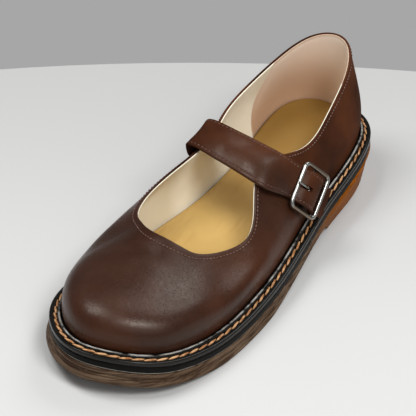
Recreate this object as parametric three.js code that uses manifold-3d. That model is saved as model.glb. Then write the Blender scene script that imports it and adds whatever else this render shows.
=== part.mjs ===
// A left mary jane shoe with a buckled strap, a stitched welt and a low heel.
// Millimetres. +Y points to the toe, +X to the inner (medial) side, +Z up.
// The origin is on the floor, under the middle of the sole.
import * as THREE from 'three';
import { mergeVertices } from 'three/addons/utils/BufferGeometryUtils.js';
import Module from 'manifold-3d';

const wasm = await Module();
wasm.setup();

// Last and sole
const soleLength = 272;
const ballWidth = 104;
const heelHeight = 31.2;
const ballHeight = 15.4;
const toeSpring = 11;
const archRise = 6.5;
const soleFlare = 2.4;
const weltWidth = 7.5;
const weltThickness = 3;
const beadHeight = 1.8;
const beadWidth = 2.2;
const stitchGroove = 0.9;
const midsoleThickness = 5;
const insoleThickness = 6;
const edgeStep = 0.5;
const edgeChamfer = 1.2;
const edgeRound = 1;
const sideGroove = 0.6;
const sideGrooveHalf = 0.55;
const treadDepth = 1.2;
const treadWidth = 5;
const treadMargin = 12;
const weltLip = 0.8;

// Upper
const collarHeight = 61;
const upperWall = 2;

// Strap and buckle
const strapWidth = 20.5;
const strapThickness = 2.2;
const strapLift = 0.8;
const foldRise = 1.6;
const crownRise = 2.6;
const crownReach = 3.5;
const strapBow = 0.4;
const strapEntry = 2.5;
const strapInside = 1.4;
const strapSag = 0.5;
const tailLength = 8;
const tailDrop = 0.6;
const holeLength = 6.5;
const buckleLength = 24;
const buckleLift = 1.6;
const frameWire = 2.4;
const frameCorner = 3;
const frameRoom = 1.8;
const barDiameter = 2;
const chapeThickness = 0.9;
const chapeWidth = 17;
const chapeSlot = 8.3;
const prongDiameter = 1.4;

const clearance = 0.3;
const aroundCount = 80;
const upCount = 10;

// One row for each rib of the upper, from the heel's back along the outer side to the toe and
// home along the inner side. along is a share of the sole's length, across a share of half the
// ball's width, and topHeight, rise and reach are shares of the collar's height. lean and roof
// are the wall's angles from upright at its foot and at its top line, in degrees.
const ribColumns = [
  'along', 'across', 'topAlong', 'topAcross', 'topHeight', 'rise', 'lean', 'reach', 'roof',
];
const ribRows = [
  [0.000, 0.01, 0.040, -0.02, 0.90, 0.36, 10, 0.30, 12],
  [0.020, -0.41, 0.054, -0.26, 0.85, 0.36, 10, 0.30, 12],
  [0.085, -0.69, 0.121, -0.42, 0.73, 0.34, 10, 0.26, 12],
  [0.190, -0.80, 0.224, -0.50, 0.625, 0.30, 10, 0.20, 14],
  [0.310, -0.825, 0.335, -0.50, 0.60, 0.28, 10, 0.20, 18],
  [0.430, -0.895, 0.449, -0.345, 0.75, 0.30, 12, 0.24, 24],
  [0.540, -0.96, 0.530, -0.51, 0.565, 0.30, 12, 0.24, 30],
  [0.650, -0.98, 0.583, -0.59, 0.445, 0.32, 10, 0.26, 38],
  [0.760, -0.945, 0.630, -0.50, 0.425, 0.36, 9, 0.34, 50],
  [0.860, -0.82, 0.684, -0.335, 0.485, 0.42, 8, 0.45, 62],
  [0.945, -0.53, 0.703, -0.17, 0.56, 0.50, 7, 0.60, 70],
  [0.998, 0.09, 0.707, 0.03, 0.61, 0.55, 6, 0.70, 72],
  [0.955, 0.61, 0.701, 0.25, 0.60, 0.55, 7, 0.60, 70],
  [0.870, 0.895, 0.681, 0.43, 0.555, 0.50, 8, 0.45, 60],
  [0.770, 0.96, 0.652, 0.59, 0.525, 0.44, 9, 0.34, 48],
  [0.660, 0.91, 0.598, 0.63, 0.57, 0.40, 10, 0.28, 36],
  [0.550, 0.79, 0.529, 0.50, 0.69, 0.36, 10, 0.26, 28],
  [0.430, 0.65, 0.451, 0.365, 0.80, 0.34, 10, 0.26, 22],
  [0.310, 0.62, 0.350, 0.46, 0.78, 0.34, 10, 0.26, 16],
  [0.190, 0.66, 0.241, 0.485, 0.745, 0.34, 10, 0.26, 14],
  [0.085, 0.62, 0.143, 0.40, 0.78, 0.36, 10, 0.28, 12],
  [0.020, 0.38, 0.071, 0.235, 0.86, 0.36, 10, 0.30, 12],
];

// The sole's profile: along is a share of the sole's length, heel a share of the way from the
// ball's height up to the heel's, toe and toeBelow are shares of the toe spring, for the welt's
// top and for the tread, and flare is a share of the sole's flare from the midsole down.
const profileRows = [
  { along: 0.00, heel: 1.00, toe: 0.00, toeBelow: 0.00, flare: -1.4 },
  { along: 0.12, heel: 0.975, toe: 0.00, toeBelow: 0.00, flare: -1.4 },
  { along: 0.28, heel: 0.62, toe: 0.00, toeBelow: 0.00, flare: -1.2 },
  { along: 0.45, heel: 0.27, toe: 0.00, toeBelow: 0.00, flare: 0.0 },
  { along: 0.62, heel: 0.01, toe: 0.00, toeBelow: 0.00, flare: 0.9 },
  { along: 0.78, heel: 0.00, toe: 0.02, toeBelow: 0.00, flare: 1.0 },
  { along: 0.90, heel: 0.00, toe: 0.46, toeBelow: 0.43, flare: 1.0 },
  { along: 1.00, heel: 0.00, toe: 1.09, toeBelow: 0.90, flare: 1.0 },
];

// The strap's two edges on the upper: rib is a place in the rib table, rise a share of the way
// up the wall, and lift how many times the strap's own lift it stands off there. The rows are
// sewn to the inner side, and earRow is where it crosses the outer side's top line.
const strapRows = [
  { frontRib: 17.27, frontRise: 0.24, rearRib: 17.85, rearRise: 0.46, lift: 1 },
  { frontRib: 17.06, frontRise: 0.46, rearRib: 17.70, rearRise: 0.64, lift: 1 },
  { frontRib: 16.78, frontRise: 0.68, rearRib: 17.56, rearRise: 0.80, lift: 1.2 },
  { frontRib: 16.54, frontRise: 0.87, rearRib: 17.43, rearRise: 0.93, lift: 2.4 },
  { frontRib: 16.47, frontRise: 1.00, rearRib: 17.42, rearRise: 1.00, lift: 4.4 },
];
const earRow = { frontRib: 5.55, frontRise: 0.96, rearRib: 4.50, rearRise: 0.96, lift: 4 };
const tailShare = 0.86;
const besideShare = 0.34;

// The prong's way from the bar to the frame: reach is a share of the way to the frame's inner
// side, and rise a share of the climb from the bar onto the frame.
const prongRows = [
  { reach: 0.30, rise: 0.55 },
  { reach: 0.46, rise: 1.11 },
  { reach: 0.69, rise: 1.04 },
  { reach: 1.00, rise: 1.00 },
  { reach: 1.20, rise: 0.93 },
];
const prongFrom = -160;
const prongTo = 130;

// Cross grooves under the heel and the forefoot: shares of the sole's length, and how many
const treadRows = [
  { from: 0.11, to: 0.25, count: 4 },
  { from: 0.65, to: 0.87, count: 5 },
];
const archFrom = 0.295;
const archTo = 0.62;
const buckleRib = 4.5;
const buckleRise = 0.44;
const buckleTurn = 23;
const buckleTwist = 11;

const degrees = Math.PI / 180;
const up = new THREE.Vector3(0, 0, 1);

// Smooth curves through table rows

function splineControls(rows) {
  const sweeps = 60;
  const near = (list, i) => list[(i + rows.length) % rows.length];
  let controls = rows.map((row) => [...row]);
  for (let sweep = 0; sweep < sweeps; sweep += 1) {
    const held = controls;
    controls = held.map((row, i) => row.map((value, k) => {
      const smooth = (near(held, i - 1)[k] + 4 * value + near(held, i + 1)[k]) / 6;
      return value + rows[i][k] - smooth;
    }));
  }
  return (index, shift) => near(controls, index + shift);
}

function splineAt(controls, place) {
  const index = Math.floor(place);
  const u = place - index;
  const weights = [
    (1 - u) ** 3,
    3 * u ** 3 - 6 * u * u + 4,
    1 + 3 * u + 3 * u * u - 3 * u ** 3,
    u ** 3,
  ];
  const parts = [-1, 0, 1, 2].map((shift) => controls(index, shift));
  return parts[0].map((_, k) => weights.reduce((sum, weight, i) => sum + weight * parts[i][k], 0) / 6);
}

const ribControls = splineControls(ribRows);

function ribAt(place) {
  const count = ribRows.length;
  const values = splineAt(ribControls, ((place % count) + count) % count);
  return Object.fromEntries(ribColumns.map((name, k) => [name, values[k]]));
}

function profileAt(y) {
  const along = THREE.MathUtils.clamp(y / soleLength, 0, 1);
  const passed = profileRows.slice(0, -1).filter((row) => row.along <= along);
  const i = passed.length - 1;
  const slope = (k, name) => {
    const a = profileRows[Math.max(k - 1, 0)];
    const b = profileRows[Math.min(k + 1, profileRows.length - 1)];
    return (b[name] - a[name]) / (b.along - a.along);
  };
  const [a, b] = [profileRows[i], profileRows[i + 1]];
  const span = b.along - a.along;
  const u = (along - a.along) / span;
  const value = (name) => a[name] * (1 + 2 * u) * (1 - u) ** 2 + b[name] * u * u * (3 - 2 * u)
    + span * (slope(i, name) * u * (1 - u) ** 2 + slope(i + 1, name) * u * u * (u - 1));
  return { heel: value('heel'), toe: value('toe'), toeBelow: value('toeBelow'), flare: value('flare') };
}

function seatHeight(y) {
  const { heel, toe } = profileAt(y);
  return ballHeight + heel * (heelHeight - ballHeight) + toe * toeSpring;
}

function treadHeight(y) {
  return Math.max(0, profileAt(y).toeBelow * toeSpring);
}

// The sole's edge in plan, and lines set in from it

function planPoint(place, alongName, acrossName) {
  const rib = ribAt(place);
  return new THREE.Vector2(rib[acrossName] * ballWidth / 2, rib[alongName] * soleLength);
}

function planNormal(place, alongName, acrossName) {
  const step = 0.05;
  const ahead = planPoint(place + step, alongName, acrossName);
  const behind = planPoint(place - step, alongName, acrossName);
  return new THREE.Vector2(behind.y - ahead.y, ahead.x - behind.x).normalize();
}

function edgePoint(place, inset, height) {
  const normal = planNormal(place, 'along', 'across');
  const edge = planPoint(place, 'along', 'across');
  const inward = typeof inset === 'function' ? inset(edge.y) : inset;
  edge.addScaledVector(normal, -inward);
  return new THREE.Vector3(edge.x, edge.y, height(edge.y));
}

const places = Array.from({ length: aroundCount }, (_, i) => i * ribRows.length / aroundCount);

function edgeRing(inset, height) {
  return places.map((place) => edgePoint(place, inset, height));
}

// The upper's wall: one curve for each rib, from the feather line on the welt to the top line

function wallPoint(place, v) {
  const rib = ribAt(place);
  const foot = edgePoint(place, weltWidth, (y) => seatHeight(y) + clearance);
  const footNormal = planNormal(place, 'along', 'across');
  const topPlan = planPoint(place, 'topAlong', 'topAcross');
  const topNormal = planNormal(place, 'topAlong', 'topAcross');
  const top = new THREE.Vector3(topPlan.x, topPlan.y, seatHeight(topPlan.y) + rib.topHeight * collarHeight);
  const rise = rib.rise * collarHeight;
  const reach = rib.reach * collarHeight;
  const outFoot = Math.sin(rib.lean * degrees) * rise;
  const outTop = Math.sin(rib.roof * degrees) * reach;
  const upFoot = Math.cos(rib.lean * degrees) * rise;
  const low = foot.clone().add(
    new THREE.Vector3(footNormal.x * outFoot, footNormal.y * outFoot, upFoot));
  const downTop = Math.cos(rib.roof * degrees) * reach;
  const high = top.clone().add(
    new THREE.Vector3(topNormal.x * outTop, topNormal.y * outTop, -downTop));
  return new THREE.CubicBezierCurve3(foot, low, high, top).getPoint(v);
}

function wallNormal(place, v) {
  const step = 0.02;
  const low = Math.max(v - step, 0);
  const high = Math.min(v + step, 1);
  const around = wallPoint(place + step, v).sub(wallPoint(place - step, v));
  const upward = wallPoint(place, high).sub(wallPoint(place, low));
  return around.cross(upward).normalize().negate();
}

function offWall(place, v, distance) {
  return wallPoint(place, v).addScaledVector(wallNormal(place, v), distance);
}

// Closed meshes from rings of points

function closedMesh(points, faces) {
  const geometry = new THREE.BufferGeometry();
  const coordinates = points.flatMap((p) => [p.x, p.y, p.z]);
  geometry.setAttribute('position', new THREE.Float32BufferAttribute(coordinates, 3));
  const cornerVolume = ([a, b, c]) => points[a].dot(points[b].clone().cross(points[c]));
  const volume = faces.reduce((sum, face) => sum + cornerVolume(face), 0);
  geometry.setIndex((volume < 0 ? faces.map(([a, b, c]) => [a, c, b]) : faces).flat());
  return geometry;
}

function joinRings(rings, closed) {
  const count = rings[0].length;
  const faces = [];
  const lastJoin = closed ? rings.length : rings.length - 1;
  for (let k = 0; k < lastJoin; k += 1) {
    const next = (k + 1) % rings.length;
    for (let i = 0; i < count; i += 1) {
      const j = (i + 1) % count;
      const [a, b, c, d] = [k * count + i, k * count + j, next * count + j, next * count + i];
      faces.push([a, b, c], [a, c, d]);
    }
  }
  return faces;
}

// A cap of strips: each point of a ring is tied to its mate on the ring's other side
function capFaces(start, count, mate, flip) {
  const faces = [];
  for (let i = 0; i < count / 2; i += 1) {
    const quad = [i, i + 1, mate(i + 1), mate(i)].map((k) => start + k % count);
    const halves = [[quad[0], quad[1], quad[2]], [quad[0], quad[2], quad[3]]];
    halves.filter(([a, b, c]) => a !== b && b !== c && c !== a)
      .forEach(([a, b, c]) => faces.push(flip ? [a, c, b] : [a, b, c]));
  }
  return faces;
}

function plate(rings) {
  const count = rings[0].length;
  const mate = (i) => count - i;
  const faces = joinRings(rings, false);
  faces.push(...capFaces(0, count, mate, true));
  faces.push(...capFaces((rings.length - 1) * count, count, mate, false));
  return closedMesh(rings.flat(), faces);
}

function hoop(rings) {
  return closedMesh(rings.flat(), joinRings(rings, true));
}

function rod(rings) {
  const count = rings[0].length;
  const mate = (i) => count - 1 - i;
  const ends = (start, flip) => capFaces(start, count, mate, flip)
    .filter((face) => new Set(face).size === 3);
  const faces = joinRings(rings, false);
  faces.push(...ends(0, true), ...ends((rings.length - 1) * count, false));
  return closedMesh(rings.flat(), faces);
}

// Booleans

function solidOf(geometry) {
  const bare = geometry.clone();
  bare.deleteAttribute('normal');
  bare.deleteAttribute('uv');
  const merged = mergeVertices(bare, 1e-4);
  return new wasm.Manifold(new wasm.Mesh({
    numProp: 3,
    vertProperties: new Float32Array(merged.attributes.position.array),
    triVerts: new Uint32Array(merged.index.array),
  }));
}

function geometryOf(solid) {
  const mesh = solid.getMesh();
  const geometry = new THREE.BufferGeometry();
  geometry.setAttribute('position', new THREE.BufferAttribute(mesh.vertProperties, 3));
  geometry.setIndex(new THREE.BufferAttribute(mesh.triVerts, 1));
  return geometry;
}

function cut(geometry, tools) {
  const rest = tools.reduce((solid, tool) => solid.subtract(solidOf(tool)), solidOf(geometry));
  return geometryOf(rest);
}

// Sole: a unit with heel, breast, arch and side grooves, a midsole and a welt

const weltLow = (y) => seatHeight(y) - weltThickness;
const midsoleHigh = (y) => weltLow(y) - clearance;
const midsoleLow = (y) => weltLow(y) - midsoleThickness;
const outsoleHigh = (y) => midsoleLow(y) - clearance;
const ballOutsole = ballHeight - weltThickness - midsoleThickness - clearance;

function flaredRing(inset, height) {
  const inward = (y) => {
    const down = (outsoleHigh(y) - height(y)) / (outsoleHigh(y) - treadHeight(y));
    return inset - profileAt(y).flare * soleFlare * down;
  };
  return edgeRing(inward, height);
}

function outsoleRings() {
  const grooveShares = [0.66, 0.42];
  const bottom = [
    flaredRing(edgeChamfer, treadHeight),
    flaredRing(0, (y) => treadHeight(y) + edgeChamfer),
  ];
  const side = grooveShares.flatMap((share) => {
    const depth = share * ballOutsole;
    return [
      flaredRing(0, (y) => outsoleHigh(y) - depth - sideGrooveHalf),
      flaredRing(sideGroove, (y) => outsoleHigh(y) - depth),
      flaredRing(0, (y) => outsoleHigh(y) - depth + sideGrooveHalf),
    ];
  });
  const brim = [
    flaredRing(-edgeStep, (y) => outsoleHigh(y) - edgeStep * 2),
    flaredRing(0, outsoleHigh),
  ];
  return [...bottom, ...side, ...brim];
}

// The arch: a quick rise at the heel's breast, then a long fall to the ball
function archCutter() {
  const breast = archFrom * soleLength;
  const front = archTo * soleLength;
  const below = -archRise;
  const outline = new THREE.Shape();
  outline.moveTo(breast, below);
  outline.lineTo(breast, 0);
  outline.quadraticCurveTo(breast + archRise * 0.3, archRise, breast + archRise * 1.8, archRise);
  outline.quadraticCurveTo((breast + front) / 2, archRise, front, 0);
  outline.lineTo(front, below);
  const extrusion = { depth: ballWidth * 2, bevelEnabled: false, curveSegments: 6 };
  const cutter = new THREE.ExtrudeGeometry(outline, extrusion);
  cutter.applyMatrix4(new THREE.Matrix4().makeBasis(
    new THREE.Vector3(0, 1, 0), up, new THREE.Vector3(1, 0, 0)));
  cutter.translate(-ballWidth, 0, 0);
  return cutter;
}

function widthAt(y, inset) {
  const ring = edgeRing(inset, () => 0);
  const near = ring.filter((p) => Math.abs(p.y - y) < treadWidth * 2);
  const inner = near.filter((p) => p.x > 0).map((p) => p.x);
  const outer = near.filter((p) => p.x < 0).map((p) => p.x);
  return { low: Math.max(...outer), high: Math.min(...inner) };
}

function treadCutter(share) {
  const y = share * soleLength;
  const { low, high } = widthAt(y, treadMargin);
  const box = new THREE.BoxGeometry(high - low, treadWidth, treadDepth * 2);
  return box.translate((low + high) / 2, y, treadHeight(y));
}

function treadCutters() {
  return treadRows.flatMap(({ from, to, count }) => Array.from({ length: count }, (_, i) => (
    treadCutter(THREE.MathUtils.lerp(from, to, i / (count - 1)))
  )));
}

function makeOutsole() {
  return cut(plate(outsoleRings()), [archCutter(), ...treadCutters()]);
}

function makeMidsole() {
  return plate([
    edgeRing(edgeRound, midsoleLow),
    edgeRing(0, (y) => midsoleLow(y) + edgeRound),
    edgeRing(0, (y) => midsoleHigh(y) - edgeRound / 2),
    edgeRing(edgeRound / 2, midsoleHigh),
  ]);
}

const insoleInset = weltWidth + upperWall + clearance * 2;

function makeWelt() {
  const grooveOut = weltWidth * 0.33;
  const grooveIn = weltWidth * 0.58;
  const beadIn = weltWidth - clearance * 2;
  const beadOut = beadIn - beadWidth;
  const section = [
    [0, -weltThickness],
    [0, -weltLip],
    [weltLip, 0],
    [grooveOut, 0],
    [(grooveOut + grooveIn) / 2, -stitchGroove],
    [Math.min(grooveIn, beadOut), 0],
    [beadOut + beadWidth * 0.35, beadHeight],
    [beadIn - beadWidth * 0.2, beadHeight],
    [beadIn, 0],
    [insoleInset - clearance, 0],
    [insoleInset - clearance, -weltThickness],
  ];
  return hoop(section.map(([inset, height]) => edgeRing(inset, (y) => seatHeight(y) + height)));
}

function makeInsole() {
  const high = (y) => weltLow(y) + insoleThickness;
  return plate([
    edgeRing(insoleInset, weltLow),
    edgeRing(insoleInset, (y) => high(y) - edgeRound),
    edgeRing(insoleInset + edgeRound, high),
  ]);
}

// Upper: one hollow wall, open at the throat and collar and underneath

function makeUpper() {
  const rises = Array.from({ length: upCount + 1 }, (_, k) => k / upCount);
  const outside = rises.map((v) => places.map((place) => wallPoint(place, v)));
  const inside = rises.map((v) => places.map((place) => (v === 0
    ? edgePoint(place, weltWidth + upperWall, (y) => seatHeight(y) + clearance)
    : offWall(place, v, -upperWall))));
  return hoop([...outside, ...inside.toReversed()]);
}

// Buckle: its own frame has x along the strap to its tail, y across it to the heel, z off the upper

const loopThickness = Math.max(chapeThickness, prongDiameter);
const barHeight = clearance * 1.5 + loopThickness + barDiameter / 2;
const strapAtFrame = clearance * 2 + chapeThickness;
const frameHeight = strapAtFrame + strapThickness + clearance + frameWire / 2;
const strapAtBar = barHeight + barDiameter / 2 + loopThickness + clearance * 1.5;

function buckleBasis() {
  const centre = wallPoint(buckleRib, buckleRise);
  const normal = wallNormal(buckleRib, buckleRise);
  const step = 0.05;
  const downhill = wallPoint(buckleRib, buckleRise - step).sub(centre);
  downhill.addScaledVector(normal, -downhill.dot(normal)).normalize();
  const along = downhill.applyAxisAngle(normal, buckleTurn * degrees);
  const facing = normal.clone().applyAxisAngle(along, buckleTwist * degrees);
  const across = facing.clone().cross(along);
  const basis = new THREE.Matrix4().makeBasis(along, across, facing);
  return basis.setPosition(centre.addScaledVector(facing, buckleLift));
}

const bucklePlace = buckleBasis();

function circleRing(centre, side, over, radius, count) {
  return Array.from({ length: count }, (_, i) => {
    const angle = 2 * Math.PI * (i + 0.5) / count;
    return centre.clone()
      .addScaledVector(side, radius * Math.cos(angle))
      .addScaledVector(over, radius * Math.sin(angle));
  });
}

const frameRadius = frameWire / 2;
const frameHalfWide = strapWidth / 2 + frameRoom + frameRadius;
const frameHalfLong = buckleLength / 2 - frameRadius;

function frameRings() {
  const turns = 4;
  const sides = 8;
  const corners = [[1, 1], [-1, 1], [-1, -1], [1, -1]];
  return corners.flatMap(([sx, sy], k) => Array.from({ length: turns + 1 }, (_, i) => {
    const angle = (k + i / turns) * Math.PI / 2;
    const outward = new THREE.Vector3(Math.cos(angle), Math.sin(angle), 0);
    const centre = new THREE.Vector3(
      sx * (frameHalfLong - frameCorner), sy * (frameHalfWide - frameCorner), frameHeight);
    return circleRing(centre.addScaledVector(outward, frameCorner), outward, up, frameRadius, sides);
  }));
}

function makeFrame() {
  const sides = 8;
  const barFrom = new THREE.Vector3(0, -frameHalfWide, barHeight);
  const bar = tubeAlong([barFrom, barFrom.clone().setY(frameHalfWide)], barDiameter / 2, sides);
  const low = barHeight - barDiameter / 2;
  const posts = [-1, 1].map((side) => {
    const post = new THREE.BoxGeometry(frameWire, frameWire * 0.8, frameHeight - low);
    return post.translate(0, side * frameHalfWide, (frameHeight + low) / 2);
  });
  const rim = solidOf(hoop(frameRings()));
  return geometryOf([bar, ...posts].reduce((solid, piece) => solid.add(solidOf(piece)), rim));
}

function tubeAlong(points, radius, sides) {
  const across = new THREE.Vector3(0, 1, 0);
  const along = new THREE.Vector3(1, 0, 0);
  const rings = points.map((point, i) => {
    const ahead = points[Math.min(i + 1, points.length - 1)];
    const behind = points[Math.max(i - 1, 0)];
    const tangent = ahead.clone().sub(behind).normalize();
    const first = Math.abs(tangent.y) > 0.9 ? along : across;
    const second = tangent.clone().cross(first).normalize();
    return circleRing(point, first, second, radius, sides);
  });
  return rod(rings);
}

// The prong turns on the bar, comes up through the strap and rests on the frame's inner bar
function makeProng() {
  const radius = prongDiameter / 2;
  const loop = barDiameter / 2 + clearance / 2 + radius;
  const turns = 9;
  const sides = 6;
  const points = Array.from({ length: turns + 1 }, (_, i) => {
    const angle = THREE.MathUtils.lerp(prongFrom, prongTo, i / turns) * degrees;
    return new THREE.Vector3(Math.cos(angle) * loop, 0, barHeight + Math.sin(angle) * loop);
  });
  const restHeight = frameHeight + frameRadius + clearance + radius;
  prongRows.forEach(({ reach, rise }) => {
    const height = THREE.MathUtils.lerp(barHeight + loop, restHeight, rise);
    points.push(new THREE.Vector3(-reach * frameHalfLong, 0, height));
  });
  return tubeAlong(points, radius, sides);
}

const prongSlot = prongDiameter + clearance * 4;

// The chape is a leather loop round the bar, with its tail on the upper and a slot for the prong
function makeChape() {
  const hole = barDiameter / 2 + clearance / 2;
  const outer = hole + chapeThickness;
  const tail = buckleLength * 0.55;
  const outline = new THREE.Shape();
  outline.moveTo(-tail, clearance);
  outline.lineTo(0, barHeight - outer);
  outline.absarc(0, barHeight, outer, -Math.PI / 2, Math.PI * 0.86, false);
  outline.lineTo(-tail * 0.4, clearance + chapeThickness);
  outline.lineTo(-tail, clearance + chapeThickness);
  const round = new THREE.Path();
  round.absarc(0, barHeight, hole, 0, 2 * Math.PI, true);
  outline.holes.push(round);
  const extrusion = { depth: chapeWidth, bevelEnabled: false, curveSegments: 5 };
  const strip = new THREE.ExtrudeGeometry(outline, extrusion);
  strip.rotateX(Math.PI / 2).translate(0, chapeWidth / 2, 0);
  const slot = new THREE.BoxGeometry(chapeSlot, prongSlot, outer * 4);
  slot.translate(outer * 1.5 - chapeSlot / 2, 0, barHeight);
  return cut(strip, [slot]);
}

// Strap: lines side by side from the sewn end, over the instep and through the buckle

function strapOnWall(row, w) {
  const share = (w + 1) / 2;
  const place = THREE.MathUtils.lerp(row.rearRib, row.frontRib, share);
  const v = THREE.MathUtils.lerp(row.rearRise, row.frontRise, share);
  return offWall(place, v, strapLift * row.lift);
}

function strapInBuckle(u, w, height, narrow = 1) {
  const point = new THREE.Vector3(u, -w * narrow * strapWidth / 2, height);
  return point.applyMatrix4(bucklePlace);
}

function strapLine(w) {
  const sewn = strapRows.map((row) => strapOnWall(row, w));
  const ear = strapOnWall(earRow, w);
  const fold = sewn.at(-1);
  const crown = fold.clone().addScaledVector(up, crownRise);
  crown.x -= crownReach;
  const free = [1 / 3, 2 / 3].map((share) => crown.clone().lerp(ear, share).addScaledVector(up, strapBow));
  const beside = frameHalfLong * besideShare;
  return [
    ...sewn.slice(0, -1),
    fold.clone().addScaledVector(up, foldRise),
    crown,
    ...free,
    ear,
    strapInBuckle(-frameHalfLong - strapEntry, w, strapAtFrame),
    strapInBuckle(-frameHalfLong + strapInside, w, strapAtFrame),
    strapInBuckle(-beside, w, strapAtBar - strapSag),
    strapInBuckle(0, w, strapAtBar),
    strapInBuckle(beside, w, strapAtBar - strapSag),
    strapInBuckle(frameHalfLong - strapInside, w, strapAtFrame),
    strapInBuckle(frameHalfLong + strapEntry, w, strapAtFrame),
    strapInBuckle(frameHalfLong + tailLength, w, strapAtFrame - tailDrop, tailShare),
  ];
}

const strapLines = [-1, -0.5, 0, 0.5, 1];
const strapSteps = 3;

function strapSheets() {
  const curves = strapLines.map((w) => strapLine(w))
    .map((points) => new THREE.CatmullRomCurve3(points, false, 'centripetal'));
  const stations = (curves[0].points.length - 1) * strapSteps;
  const lowSheet = Array.from({ length: stations + 1 }, (_, k) => (
    curves.map((curve) => curve.getPoint(k / stations))
  ));
  const clampRow = (k) => lowSheet[THREE.MathUtils.clamp(k, 0, stations)];
  const highSheet = lowSheet.map((row, k) => row.map((point, i) => {
    const along = clampRow(k + 1)[i].clone().sub(clampRow(k - 1)[i]);
    const across = row[Math.min(i + 1, row.length - 1)].clone().sub(row[Math.max(i - 1, 0)]);
    return point.clone().addScaledVector(across.cross(along).normalize(), strapThickness);
  }));
  return { lowSheet, highSheet };
}

function makeStrap() {
  const { lowSheet, highSheet } = strapSheets();
  const band = rod(lowSheet.map((row, k) => [...row, ...highSheet[k].toReversed()]));
  const hole = new THREE.BoxGeometry(holeLength, prongSlot, strapThickness * 5);
  hole.translate(-(barDiameter + holeLength) / 2, 0, strapAtBar);
  hole.applyMatrix4(bucklePlace);
  return cut(band, [hole]);
}

// Finishes

function finish(name, color, roughness, metalness = 0) {
  return new THREE.MeshStandardMaterial({ name, color, roughness, metalness });
}

const leather = finish('brown_leather', 0x4a2b1f, 0.42);
const insoleLeather = finish('tan_leather', 0xbd9b58, 0.7);
const blackRubber = finish('black_rubber', 0x17140f, 0.4);
const brownRubber = finish('brown_rubber', 0x6b4a2c, 0.45);
const metal = finish('bright_metal', 0xc9c9c6, 0.25, 1);

function node(name, geometry, material) {
  const mesh = new THREE.Mesh(geometry, material);
  mesh.name = name;
  mesh.geometry.computeVertexNormals();
  return mesh;
}

const buckle = new THREE.Group();
buckle.add(
  node('buckle_frame', makeFrame(), metal),
  node('buckle_prong', makeProng(), metal),
  node('buckle_chape', makeChape(), leather),
);
buckle.applyMatrix4(bucklePlace);

const shoe = new THREE.Group();
shoe.add(
  node('outsole', makeOutsole(), brownRubber),
  node('midsole', makeMidsole(), blackRubber),
  node('welt', makeWelt(), blackRubber),
  node('insole', makeInsole(), insoleLeather),
  node('upper', makeUpper(), leather),
  node('strap', makeStrap(), leather),
  buckle,
);

// The outsole is centred on the origin
const soleBox = new THREE.Box3().setFromObject(shoe.getObjectByName('outsole'));
const soleCentre = soleBox.getCenter(new THREE.Vector3());
shoe.position.set(-soleCentre.x, -soleCentre.y, 0);

export default shoe;
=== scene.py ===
import math
from functools import lru_cache

import bpy
from mathutils import Matrix, Vector, noise


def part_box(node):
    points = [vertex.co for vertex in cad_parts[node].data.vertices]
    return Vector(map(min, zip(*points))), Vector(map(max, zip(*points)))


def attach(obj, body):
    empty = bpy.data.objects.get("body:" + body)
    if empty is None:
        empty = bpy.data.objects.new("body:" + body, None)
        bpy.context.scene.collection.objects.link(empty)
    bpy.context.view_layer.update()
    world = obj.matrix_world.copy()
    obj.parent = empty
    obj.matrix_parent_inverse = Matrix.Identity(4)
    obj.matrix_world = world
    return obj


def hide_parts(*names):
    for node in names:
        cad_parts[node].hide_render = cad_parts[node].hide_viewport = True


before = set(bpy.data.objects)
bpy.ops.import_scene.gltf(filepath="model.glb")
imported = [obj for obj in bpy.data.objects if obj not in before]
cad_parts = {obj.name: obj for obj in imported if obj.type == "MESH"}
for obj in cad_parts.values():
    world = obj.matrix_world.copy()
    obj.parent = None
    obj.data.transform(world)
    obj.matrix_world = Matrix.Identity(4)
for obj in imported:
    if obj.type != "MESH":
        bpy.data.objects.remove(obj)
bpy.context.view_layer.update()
toMetres = 0.001  # the forms are worked out in millimetres
upAxis = Vector((0, 0, 1))
print("frame loaded:", ", ".join(sorted(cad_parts)))


def axesMatrix(first, second, third, place):
    rows = [(first[k], second[k], third[k], place[k]) for k in range(3)]
    return Matrix(rows + [(0, 0, 0, 1)])


# camera: the photo's angle to the shoe, turned and zoomed until the shoe fills the frame

camera = {
    "azimuth": 212.55,        # degrees
    "elevation": 36.52,
    "roll": 1.47,
    "distance": 1.12012,      # metres to the target
    "focal": 1423.52,         # in pixels of the frame
    "frame": 416,             # the frame's width in pixels
    "sensor": 36,             # the same width in millimetres
    "clip": (0.05, 50),
    "target": (0.00047, -0.0006, 0.03),
    "offset": (41.39, 51.6),  # the target's place right of and below the middle, in pixels
    "middle": (31.5, 46.0),   # the shoe's own middle, which the camera turns to
    "zoom": 1.38,
}


def cameraAxes(back):
    roll = math.radians(camera["roll"])
    right = (-back).cross(upAxis).normalized()
    above = right.cross(-back)
    return (right * math.cos(roll) + above * math.sin(roll),
            above * math.cos(roll) - right * math.sin(roll))


def placeCamera():
    azimuth, elevation = math.radians(camera["azimuth"]), math.radians(camera["elevation"])
    level = math.cos(elevation)
    back = Vector((math.sin(azimuth) * level, -math.cos(azimuth) * level, math.sin(elevation)))
    right, above = cameraAxes(back)
    share = camera["distance"] / camera["focal"]
    place = (Vector(camera["target"]) + back * camera["distance"]
             - right * camera["offset"][0] * share + above * camera["offset"][1] * share)
    back = (back * camera["focal"] - right * camera["middle"][0]
            + above * camera["middle"][1]).normalized()
    data = bpy.data.cameras.new("photoCamera")
    data.sensor_width = camera["sensor"]
    data.lens = camera["sensor"] * camera["focal"] * camera["zoom"] / camera["frame"]
    data.clip_start, data.clip_end = camera["clip"]
    seen = bpy.data.objects.new("photoCamera", data)
    bpy.context.collection.objects.link(seen)
    seen.matrix_world = axesMatrix(*cameraAxes(back), back, place)
    bpy.context.scene.camera = seen


placeCamera()
print("camera placed")

# shader helpers: a wire can be added, subtracted and multiplied like a number


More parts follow.
